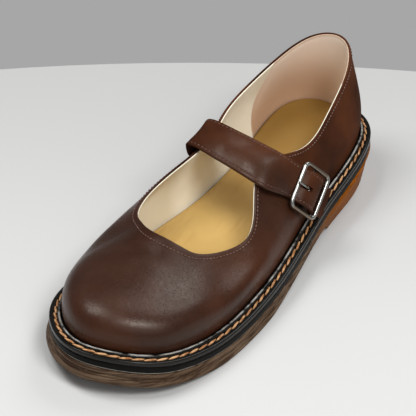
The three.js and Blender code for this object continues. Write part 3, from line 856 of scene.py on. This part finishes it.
soleSet = {
    "columns": 400, "capRows": 24, "ring": 200,
    "bandLow": [  # inset and height over the band's lower side, then under its upper side
        (1, 0), (0.3, 0.25), (0, 0.9), (0, 1.6), (0, 2.4), (0, 3.2), (0, 4)],
    "bandHigh": [(0.15, 0.25), (0.5, 0)],
    "chamfer": (1.2, 0.3, 0.35), "edgeStep": 0.5,
    "grooves": (0.66, 0.42), "grooveHalf": 0.55, "sideGroove": 0.6,
    "breast": 0.295, "front": 0.62,  # shares of the sole between which the arch is open
    "archBelow": -5, "breastCurve": (0.3, 0.95, 1.8), "archCurve": 0.5, "archSteps": (10, 24),
    "treads": [(0.11, 0.25, 4), (0.65, 0.87, 5)],  # from, to as shares of the sole, count
    "treadWidth": 5, "treadDepth": 1.2, "treadMargin": 12,
    "bandAngle": 50, "unitAngle": 32,
}
midsoleHigh = above(weltLow, -last["clearance"])
midsoleLow = above(weltLow, -last["midsoleThickness"])
outsoleHigh = above(midsoleLow, -last["clearance"])


def flaredInset(inset, height):
    def inward(y):
        down = (outsoleHigh(y) - height(y)) / (outsoleHigh(y) - treadHeight(y))
        return inset - profileAt(y)[3] * last["soleFlare"] * down
    return inward


def closedSole(name, section):
    columns, count = soleSet["columns"], len(section) - 1
    side = bendGrid(name, columns, count, lambda u, w: edgePoint(
        u * ribCount % ribCount, *section[round(w * count)]))
    caps = [bendGrid(name + part, columns // 2, soleSet["capRows"],
                     lambda u, w: acrossSole(u, w, *section[at]))
            for part, at in (("Low", 0), ("High", -1))]
    whole = joinPieces(name, [side, *caps])
    closeMesh(whole)
    return whole


def midsoleSection():
    rows = [(inset, above(midsoleLow, rise)) for inset, rise in soleSet["bandLow"]]
    return rows + [(inset, above(midsoleHigh, -drop)) for inset, drop in soleSet["bandHigh"]]


def outsoleSection():
    (chamfer, inset, rise), half = soleSet["chamfer"], soleSet["grooveHalf"]
    thick = last["weltThickness"] + last["midsoleThickness"] + last["clearance"]
    rows = [(chamfer, treadHeight), (inset, above(treadHeight, rise)),
            (0, above(treadHeight, chamfer))]
    for share in soleSet["grooves"]:
        depth = share * (last["ballHeight"] - thick)
        rows += [(deep, above(outsoleHigh, up - depth)) for deep, up in (
            (0, -half), (soleSet["sideGroove"], 0), (0, half))]
    step = soleSet["edgeStep"]
    rows += [(-step, above(outsoleHigh, -step * 2)), (0, outsoleHigh)]
    return [(flaredInset(inset, height), height) for inset, height in rows]


band = closedSole("midsoleBand", midsoleSection())
smoothBelow(band, soleSet["bandAngle"])
dressPiece(band, bandBlack, "black_rubber", "midsole")

unit = closedSole("soleUnit", outsoleSection())


def archTool():
    breast, front = (soleSet[key] * last["soleLength"] for key in ("breast", "front"))
    below, rise = soleSet["archBelow"], last["archRise"]
    bendY, bendZ, topY = (share * rise for share in soleSet["breastCurve"])
    middle = breast + (front - breast) * soleSet["archCurve"]

    def curve(a, b, c, count):
        return [tuple((1 - t) ** 2 * a[k] + 2 * t * (1 - t) * b[k] + t * t * c[k] for k in (0, 1))
                for t in (step / count for step in range(1, count + 1))]
    heelSteps, frontSteps = soleSet["archSteps"]
    top = (breast + topY, rise)
    outline = [(breast, below), (breast, 0)]
    outline += curve((breast, 0), (breast + bendY, bendZ), top, heelSteps)
    outline += curve(top, (middle, rise), (front, 0), frontSteps) + [(front, below)]
    count = len(outline)

    def toolPoint(u, w):
        return Vector(((2 * u - 1) * last["ballWidth"], *outline[round(w * count) % count]))
    tool = bendGrid("archTool", 1, count, toolPoint)
    fillEnds(tool)
    return tool


def treadTool():
    tools = []
    width, depth = soleSet["treadWidth"], soleSet["treadDepth"]
    ring = flatRing(soleSet["treadMargin"], soleSet["ring"])
    for start, stop, count in soleSet["treads"]:
        for k in range(count):
            y = (start + (stop - start) * k / (count - 1)) * last["soleLength"]
            near = [p.x for p in ring if abs(p.y - y) < width * 2]
            low, high = max(x for x in near if x < 0), min(x for x in near if x > 0)
            middle = toWorld(Vector(((low + high) / 2, y, treadHeight(y))))
            selectNone()
            bpy.ops.mesh.primitive_cube_add(size=toMetres, location=middle)
            setMode("EDIT")
            bpy.ops.transform.resize(value=(high - low, width, depth * 2))
            setMode("OBJECT")
            bpy.ops.object.transform_apply(location=True)
            tools.append(bpy.context.object)
    return joinPieces("treadTool", tools)


for tool in (archTool(), treadTool()):
    cutOut(unit, tool)
smoothBelow(unit, soleSet["unitAngle"])
dressPiece(unit, soleBrown, "brown_rubber", "outsole")
print("sole made:", len(unit.data.polygons), "faces")

# buckle: its own frame has x along the strap to its tail, y across it, z off the upper

buckleSet = {
    "rib": 4.5, "rise": 0.44, "down": 0.05, "turn": 23, "twist": 11, "lift": 1.6,
    "length": 24, "wire": 2.4, "room": 1.8, "bar": 2, "prong": 1.4, "chape": 0.9,
    "strapWidth": 20.5, "strapThickness": 2.2,
    "corner": (3, 10, 6),  # radius, its steps, steps of the straight side after it
    "rimSides": 16, "sides": 12, "smooth": 60,
    "barEnds": (0.3, 1.6), "barMiddle": 0.4,
    "pinLoop": (-160, 290, 18),  # start and sweep in degrees, steps
    "pinRise": (-3.2, 0.55), "pinTops": [(-5, 0.3), (-7.5, 0.1)], "pinEnd": (2.16, 0.2),
    "pinSteps": 4, "pinTip": 0.55, "tipSteps": 2.5,
    "chapeBevel": 0.00025, "chapeAngle": 50,
}
gap = last["clearance"]
pinSpace = gap * 1.5 + max(buckleSet["chape"], buckleSet["prong"])
barHeight = pinSpace + buckleSet["bar"] / 2
strapAtBar = barHeight + buckleSet["bar"] / 2 + pinSpace
strapAtFrame = gap * 2 + buckleSet["chape"]
frameHeight = strapAtFrame + buckleSet["strapThickness"] + gap + buckleSet["wire"] / 2


def buckleMatrix():
    rib, rise = buckleSet["rib"], buckleSet["rise"]
    centre, normal = wallPoint(rib, rise), wallNormal(rib, rise)
    downhill = wallPoint(rib, rise - buckleSet["down"]) - centre
    downhill = (downhill - normal * downhill.dot(normal)).normalized()
    along = Matrix.Rotation(math.radians(buckleSet["turn"]), 3, normal) @ downhill
    facing = Matrix.Rotation(math.radians(buckleSet["twist"]), 3, along) @ normal
    return axesMatrix(along, facing.cross(along), facing, centre + facing * buckleSet["lift"])


bucklePlace = buckleMatrix()


def tubePiece(name, path, sides, closed):
    count = len(path)

    def tubePoint(u, w):
        k = round(u * (count if closed else count - 1))
        point, side, over, radius = path[k % count]
        angle = 2 * math.pi * w
        outward = side * radius * math.cos(angle) + over * radius * math.sin(angle)
        return bucklePlace @ (point + outward)
    piece = bendGrid(name, count if closed else count - 1, sides, tubePoint)
    if not closed:
        fillEnds(piece)
    return piece


def framePath():
    radius = buckleSet["wire"] / 2
    halfLong = buckleSet["length"] / 2 - radius
    halfWide = buckleSet["strapWidth"] / 2 + buckleSet["room"] + radius
    corner, turns, straight = buckleSet["corner"]
    centres = [Vector((x * (halfLong - corner), y * (halfWide - corner), frameHeight))
               for x, y in ((1, 1), (-1, 1), (-1, -1), (1, -1))]
    path = []
    for k, centre in enumerate(centres):
        for i in range(turns + 1):
            angle = (k + i / turns) * math.pi / 2
            outward = Vector((math.cos(angle), math.sin(angle), 0))
            path.append((centre + outward * corner, outward, upAxis, radius))
        begin, end = path[-1][0], centres[(k + 1) % len(centres)] + outward * corner
        path += [(begin.lerp(end, i / straight), outward, upAxis, radius)
                 for i in range(1, straight)]
    return path, halfWide


def buckleFrame():
    path, halfWide = framePath()
    rim = tubePiece("buckleRim", path, buckleSet["rimSides"], True)
    side, radius = Vector((1, 0, 0)), buckleSet["bar"] / 2
    bend, level = buckleSet["barEnds"]
    half = [(-halfWide, frameHeight), (-halfWide + bend, (frameHeight + barHeight) / 2),
            (-halfWide + level, barHeight), (-halfWide * buckleSet["barMiddle"], barHeight)]
    line = half + [(-y, z) for y, z in reversed(half)]
    barPath = []
    for k, (y, z) in enumerate(line):
        before, after = line[max(k - 1, 0)], line[min(k + 1, len(line) - 1)]
        way = Vector((0, after[0] - before[0], after[1] - before[1])).normalized()
        barPath.append((Vector((0, y, z)), side, way.cross(side).normalized(), radius))
    bar = tubePiece("buckleBar", barPath, buckleSet["sides"], False)
    return joinPieces("buckleFrame", [rim, bar])


frameWire = buckleFrame()
smoothBelow(frameWire, buckleSet["smooth"])
dressPiece(frameWire, metal, "bright_metal", "buckle_frame")


# the pin's loop round the bar, then its way over the frame's front side
def pinPath():
    radius, side = buckleSet["prong"] / 2, Vector((0, 1, 0))
    loop = buckleSet["bar"] / 2 + gap / 2 + radius
    start, sweep, steps = buckleSet["pinLoop"]
    angles = [math.radians(start + sweep * i / steps) for i in range(steps + 1)]
    points = [Vector((math.cos(a) * loop, 0, barHeight + math.sin(a) * loop)) for a in angles]
    rest = frameHeight + buckleSet["wire"] / 2 + gap + radius
    innerBar = -(buckleSet["length"] - buckleSet["wire"]) / 2
    (riseX, riseShare), (past, drop) = buckleSet["pinRise"], buckleSet["pinEnd"]
    line = [(riseX, barHeight + loop + (rest - barHeight - loop) * riseShare)]
    line += [(x, rest + over) for x, over in buckleSet["pinTops"]]
    line += [(innerBar, rest), (innerBar - past, rest - drop)]
    knots = [points[-1]] + [Vector((x, 0, z)) for x, z in line]
    steps = buckleSet["pinSteps"] * (len(knots) - 1)
    points += [curveThrough(knots, i / steps) for i in range(1, steps + 1)]
    path, end, tip = [], len(points) - 1, buckleSet["pinTip"]
    for k, point in enumerate(points):
        way = (points[min(k + 1, end)] - points[max(k - 1, 0)]).normalized()
        share = min(1, tip + (1 - tip) * (end - k) / buckleSet["tipSteps"])
        path.append((point, side, way.cross(side).normalized(), radius * share))
    return path


prong = tubePiece("bucklePin", pinPath(), buckleSet["sides"], False)
dressPiece(prong, metal, "bright_metal", "buckle_prong")

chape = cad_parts["buckle_chape"]
onlySelect(chape)
bpy.ops.object.duplicate()
loopPiece = bpy.context.object
loopPiece.name = loopPiece.data.name = "chapeLoop"
closeMesh(loopPiece)
useModifier(loopPiece, "BEVEL", width=buckleSet["chapeBevel"], segments=2)
smoothBelow(loopPiece, buckleSet["chapeAngle"])
dressPiece(loopPiece, leather, "brown_leather", "buckle_chape")
print("buckle made")

# strap: sewn to the inner side, over the instep and through the buckle

strapSet = {
    "lift": 0.8, "steps": 9, "smooth": 50,
    "innerRows": [  # front rib, front rise, rear rib, rear rise, lift
        (17.27, 0.24, 17.85, 0.46, 1), (17.06, 0.46, 17.7, 0.64, 1),
        (16.78, 0.68, 17.56, 0.8, 1.2), (16.54, 0.87, 17.43, 0.93, 2.4),
        (16.47, 1, 17.42, 1, 4.4)],
    "earRow": (5.55, 0.96, 4.5, 0.96, 4),
    "buckleRows": [  # share of the half length, past it, 1 at the bar, drop, share of the width
        (-1, -2.5, 0, 0, 1), (-1, 1.4, 0, 0, 1), (-0.34, 0, 1, 0.5, 1), (0, 0, 1, 0, 1),
        (0.34, 0, 1, 0.5, 1), (1, -1.4, 0, 0, 1), (1, 2.5, 0, 0, 1), (1, 8, 0, 0.6, 0.86)],
    "foldRise": 1.6, "crownRise": 2.6, "crownReach": 3.5, "bow": 0.4, "crown": 1.1,
    "under": [(-0.9, 0), (-0.5, 0), (0, 0), (0.5, 0), (0.9, 0)],
    "side": [  # share of half the width, share of the thickness, from the edge to the middle
        (0.955, 0.06), (0.985, 0.25), (1, 0.5), (0.985, 0.78), (0.955, 0.95), (0.92, 1.02),
        (0.88, 1.03), (0.85, 1), (0.825, 0.95), (0.8, 1), (0.76, 1.05), (0.68, 1.08),
        (0.55, 1.1), (0.4, 1.11), (0.25, 1.12), (0.1, 1.12)],
    "creases": [  # along, across, to along, to across, width along, depth
        (0.335, -0.9, 0.365, 0.9, 0.012, 0.28), (0.43, -0.9, 0.4, 0.5, 0.015, 0.2),
        (0.5, 0.9, 0.47, -0.2, 0.016, 0.16), (0.6, -0.9, 0.62, 0.7, 0.013, 0.24)],
    "creaseEnds": 0.1, "leastDepth": 0, "ridge": 0.4, "ridgeAt": 2,
    "stepAlong": 0.01, "stepAcross": 0.1,
    "hole": (-4.25, 6.5, 11), "holeRoom": 4,  # middle, length and height; gaps beside the pin
    "edge": 0.825, "ends": (0.02, 0.97), "pitch": 2.5, "stitch": (1.6, 0.65, 0.6),
    "box": (0.014, 0.13), "edgeLift": -0.3, "boxLift": -0.15,
}
strapSection = strapSet["under"] + strapSet["side"]
strapSection += [(-across, rise) for across, rise in reversed(strapSet["side"])]


def strapOnWall(row, w):
    frontRib, frontRise, rearRib, rearRise, lift = row
    share = (w + 1) / 2
    return offWall(rearRib + (frontRib - rearRib) * share,
                   rearRise + (frontRise - rearRise) * share, strapSet["lift"] * lift)


@lru_cache(maxsize=None)
def strapLine(w):
    sewn = [strapOnWall(row, w) for row in strapSet["innerRows"]]
    ear, fold = strapOnWall(strapSet["earRow"], w), sewn[-1]
    crown = fold + upAxis * strapSet["crownRise"] - Vector((strapSet["crownReach"], 0, 0))
    free = [crown.lerp(ear, share) + upAxis * strapSet["bow"] for share in (1 / 3, 2 / 3)]
    half = (buckleSet["length"] - buckleSet["wire"]) / 2
    held = [bucklePlace @ Vector((half * share + past, -w * narrow * buckleSet["strapWidth"] / 2,
                                  (strapAtFrame, strapAtBar)[atBar] - drop))
            for share, past, atBar, drop, narrow in strapSet["buckleRows"]]
    return sewn[:-1] + [fold + upAxis * strapSet["foldRise"], crown] + free + [ear] + held


def strapFacing(t, w):
    step, side = strapSet["stepAlong"], strapSet["stepAcross"]
    line = strapLine(w)
    along = curveThrough(line, min(t + step, 1)) - curveThrough(line, max(t - step, 0))
    low, high = max(w - side, -1), min(w + side, 1)
    across = curveThrough(strapLine(high), t) - curveThrough(strapLine(low), t)
    return across.cross(along).normalized()


def strapCrease(t, w):
    total = 0.0
    for fromT, fromW, toT, toW, width, depth in strapSet["creases"]:
        share = min(max((w - fromW) / (toW - fromW), 0), 1)
        far = (t - fromT - (toT - fromT) * share) / width
        total += creaseShape(far, share, depth, strapSet)
    return total


def strapTop(t, w, over):
    height = buckleSet["strapThickness"] * strapSet["crown"] + over - strapCrease(t, w)
    return curveThrough(strapLine(w), t) + strapFacing(t, w) * height


def strapPoint(u, w):
    count = len(strapSection)
    across, rise = strapSection[round(w * count) % count]
    height = rise * buckleSet["strapThickness"] - strapCrease(u, across) * max(0, rise)
    return curveThrough(strapLine(across), u) + strapFacing(u, across) * height


strapStations = (len(strapLine(0.0)) - 1) * strapSet["steps"]
strap = bendGrid("strapBand", strapStations, len(strapSection), strapPoint)
fillEnds(strap)


def holeTool():
    selectNone()
    bpy.ops.mesh.primitive_cube_add(size=1)
    tool = bpy.context.object
    middle, length, height = strapSet["hole"]
    width = buckleSet["prong"] + gap * strapSet["holeRoom"]
    for vertex in tool.data.vertices:
        x, y, z = vertex.co
        local = Vector((middle + x * length, y * width, strapAtBar + z * height))
        vertex.co = toWorld(bucklePlace @ local)
    return tool


cutOut(strap, holeTool())
smoothBelow(strap, strapSet["smooth"])
dressPiece(strap, leather, "brown_leather", "strap")
print("strap made:", len(strap.data.polygons), "faces")

# stitches: the strap's edges, the box with its cross at the sewn end, and the top line


def seamSpots(fromT, fromW, toT, toW, lift, samples):
    def placeAt(share):
        return fromT + (toT - fromT) * share, fromW + (toW - fromW) * share
    return evenSpots(lambda k: strapTop(*placeAt(k), lift), lambda k: strapFacing(*placeAt(k)),
                     0, 1, strapSet["pitch"], samples)


edge, (near, far), (boxNear, boxFar) = (strapSet[key] for key in ("edge", "ends", "box"))
seams = [(near, side, far, side, strapSet["edgeLift"], 400) for side in (-edge, edge)]
seams += [(*ends, strapSet["boxLift"], 60) for ends in (
    (boxNear, -edge, boxNear, edge), (boxFar, -edge, boxFar, edge),
    (boxNear, -edge, boxFar, edge), (boxNear, edge, boxFar, -edge))]
strapSpots = [spot for seam in seams for spot in seamSpots(*seam)]
stitchRow("strapStitches", strapSpots, strapSet["stitch"], toneThread, "brown_leather")

topSet = {"below": 0.955, "pitch": 2.2, "size": (1.6, 0.7, 0.65), "lift": 0.12}
topSpots = evenSpots(
    lambda t: offWall(t % ribCount, topSet["below"], topSet["lift"]),
    lambda t: wallNormal(t % ribCount, topSet["below"]), 0, ribCount, topSet["pitch"], 900)
stitchRow("topLineStitches", topSpots, topSet["size"], edgeThread, "brown_leather")
print("stitches made:", len(strapSpots) + len(topSpots))

# floor, backdrop and lights

stageSet = {
    "centre": (-0.4571, 0.7104, -0.0002), "radius": 1.045, "vertices": 256, "cloud": 2.5,
    # painted shade: the floor's colour darkens away from the camera
    "floor": ((203, 203, 202), (199, 199, 198), (184, 184, 183)),  # the last one far away
    "away": (0.538, 0.843), "awayBand": (-0.15, 0.25),
    "ground": 24, "groundHeight": -1.5, "backdrop": 0.386, "world": 0.16, "aim": (0, 0.05, 0.03),
}


def stagePiece(name, material):
    bpy.ops.object.transform_apply(location=True)
    piece = bpy.context.object
    piece.name = name
    piece.data.materials.append(material)


def plainFloor():
    selectNone()
    bpy.ops.mesh.primitive_circle_add(vertices=stageSet["vertices"], radius=stageSet["radius"],
                                      fill_type="NGON", location=stageSet["centre"])
    look = Look("paleFloor")
    cloud = look.noise(stageSet["cloud"], 3)
    right, back = stageSet["away"]
    away = look.objectAxis(0) * right - look.objectAxis(1) * back
    plain, dim, distant = stageSet["floor"]
    near = look.blend(cloud, 0.3, 0.7, plain, dim)
    # painted shade: darker far away
    colour = look.blend(away, *stageSet["awayBand"], near, distant)
    stagePiece("paleFloor", look.close(colour, 0.6, 0.25))


# a plain grey ground far below the floor's round edge is all that the camera sees behind it
def plainBackdrop():
    selectNone()
    bpy.ops.mesh.primitive_plane_add(size=stageSet["ground"],
                                     location=(0, 0, stageSet["groundHeight"]))
    stagePiece("greyBackdrop", Look("greyBackdrop").close((0, 0, 0, 1), 1.0, 0.0, None, {
        "Emission Color": (*[stageSet["backdrop"]] * 3, 1), "Emission Strength": 1.0}))


plainFloor()
plainBackdrop()

world = bpy.data.worlds.new("studio")
world.use_nodes = True
sky = world.node_tree.nodes["Background"]
sky.inputs["Color"].default_value = (*[stageSet["world"]] * 3, 1)
sky.inputs["Strength"].default_value = 1.0
bpy.context.scene.world = world
bpy.context.scene.view_settings.view_transform = "Standard"

lights = [  # name, direction, distance, size, watts
    ("softLeft", (0.37, 0.15, 0.92), 1.3, 0.55, 10.0),
    ("softRight", (-0.5, 0.19, 0.85), 1.3, 0.42, 9.5),
    ("softBack", (-0.1, -0.62, 0.77), 1.4, 0.55, 5.5),
    ("softFront", (-0.7, 0.45, 0.65), 1.6, 1.3, 6.0),
]
for name, way, distance, size, watts in lights:
    data = bpy.data.lights.new(name, "AREA")
    data.shape = "SQUARE"
    data.size = size
    data.energy = watts
    lamp = bpy.data.objects.new(name, data)
    bpy.context.collection.objects.link(lamp)
    lamp.location = Vector(way).normalized() * distance + Vector(stageSet["aim"])
    lamp.rotation_euler = Vector(way).to_track_quat("Z", "Y").to_euler()
print("stage and lights made")
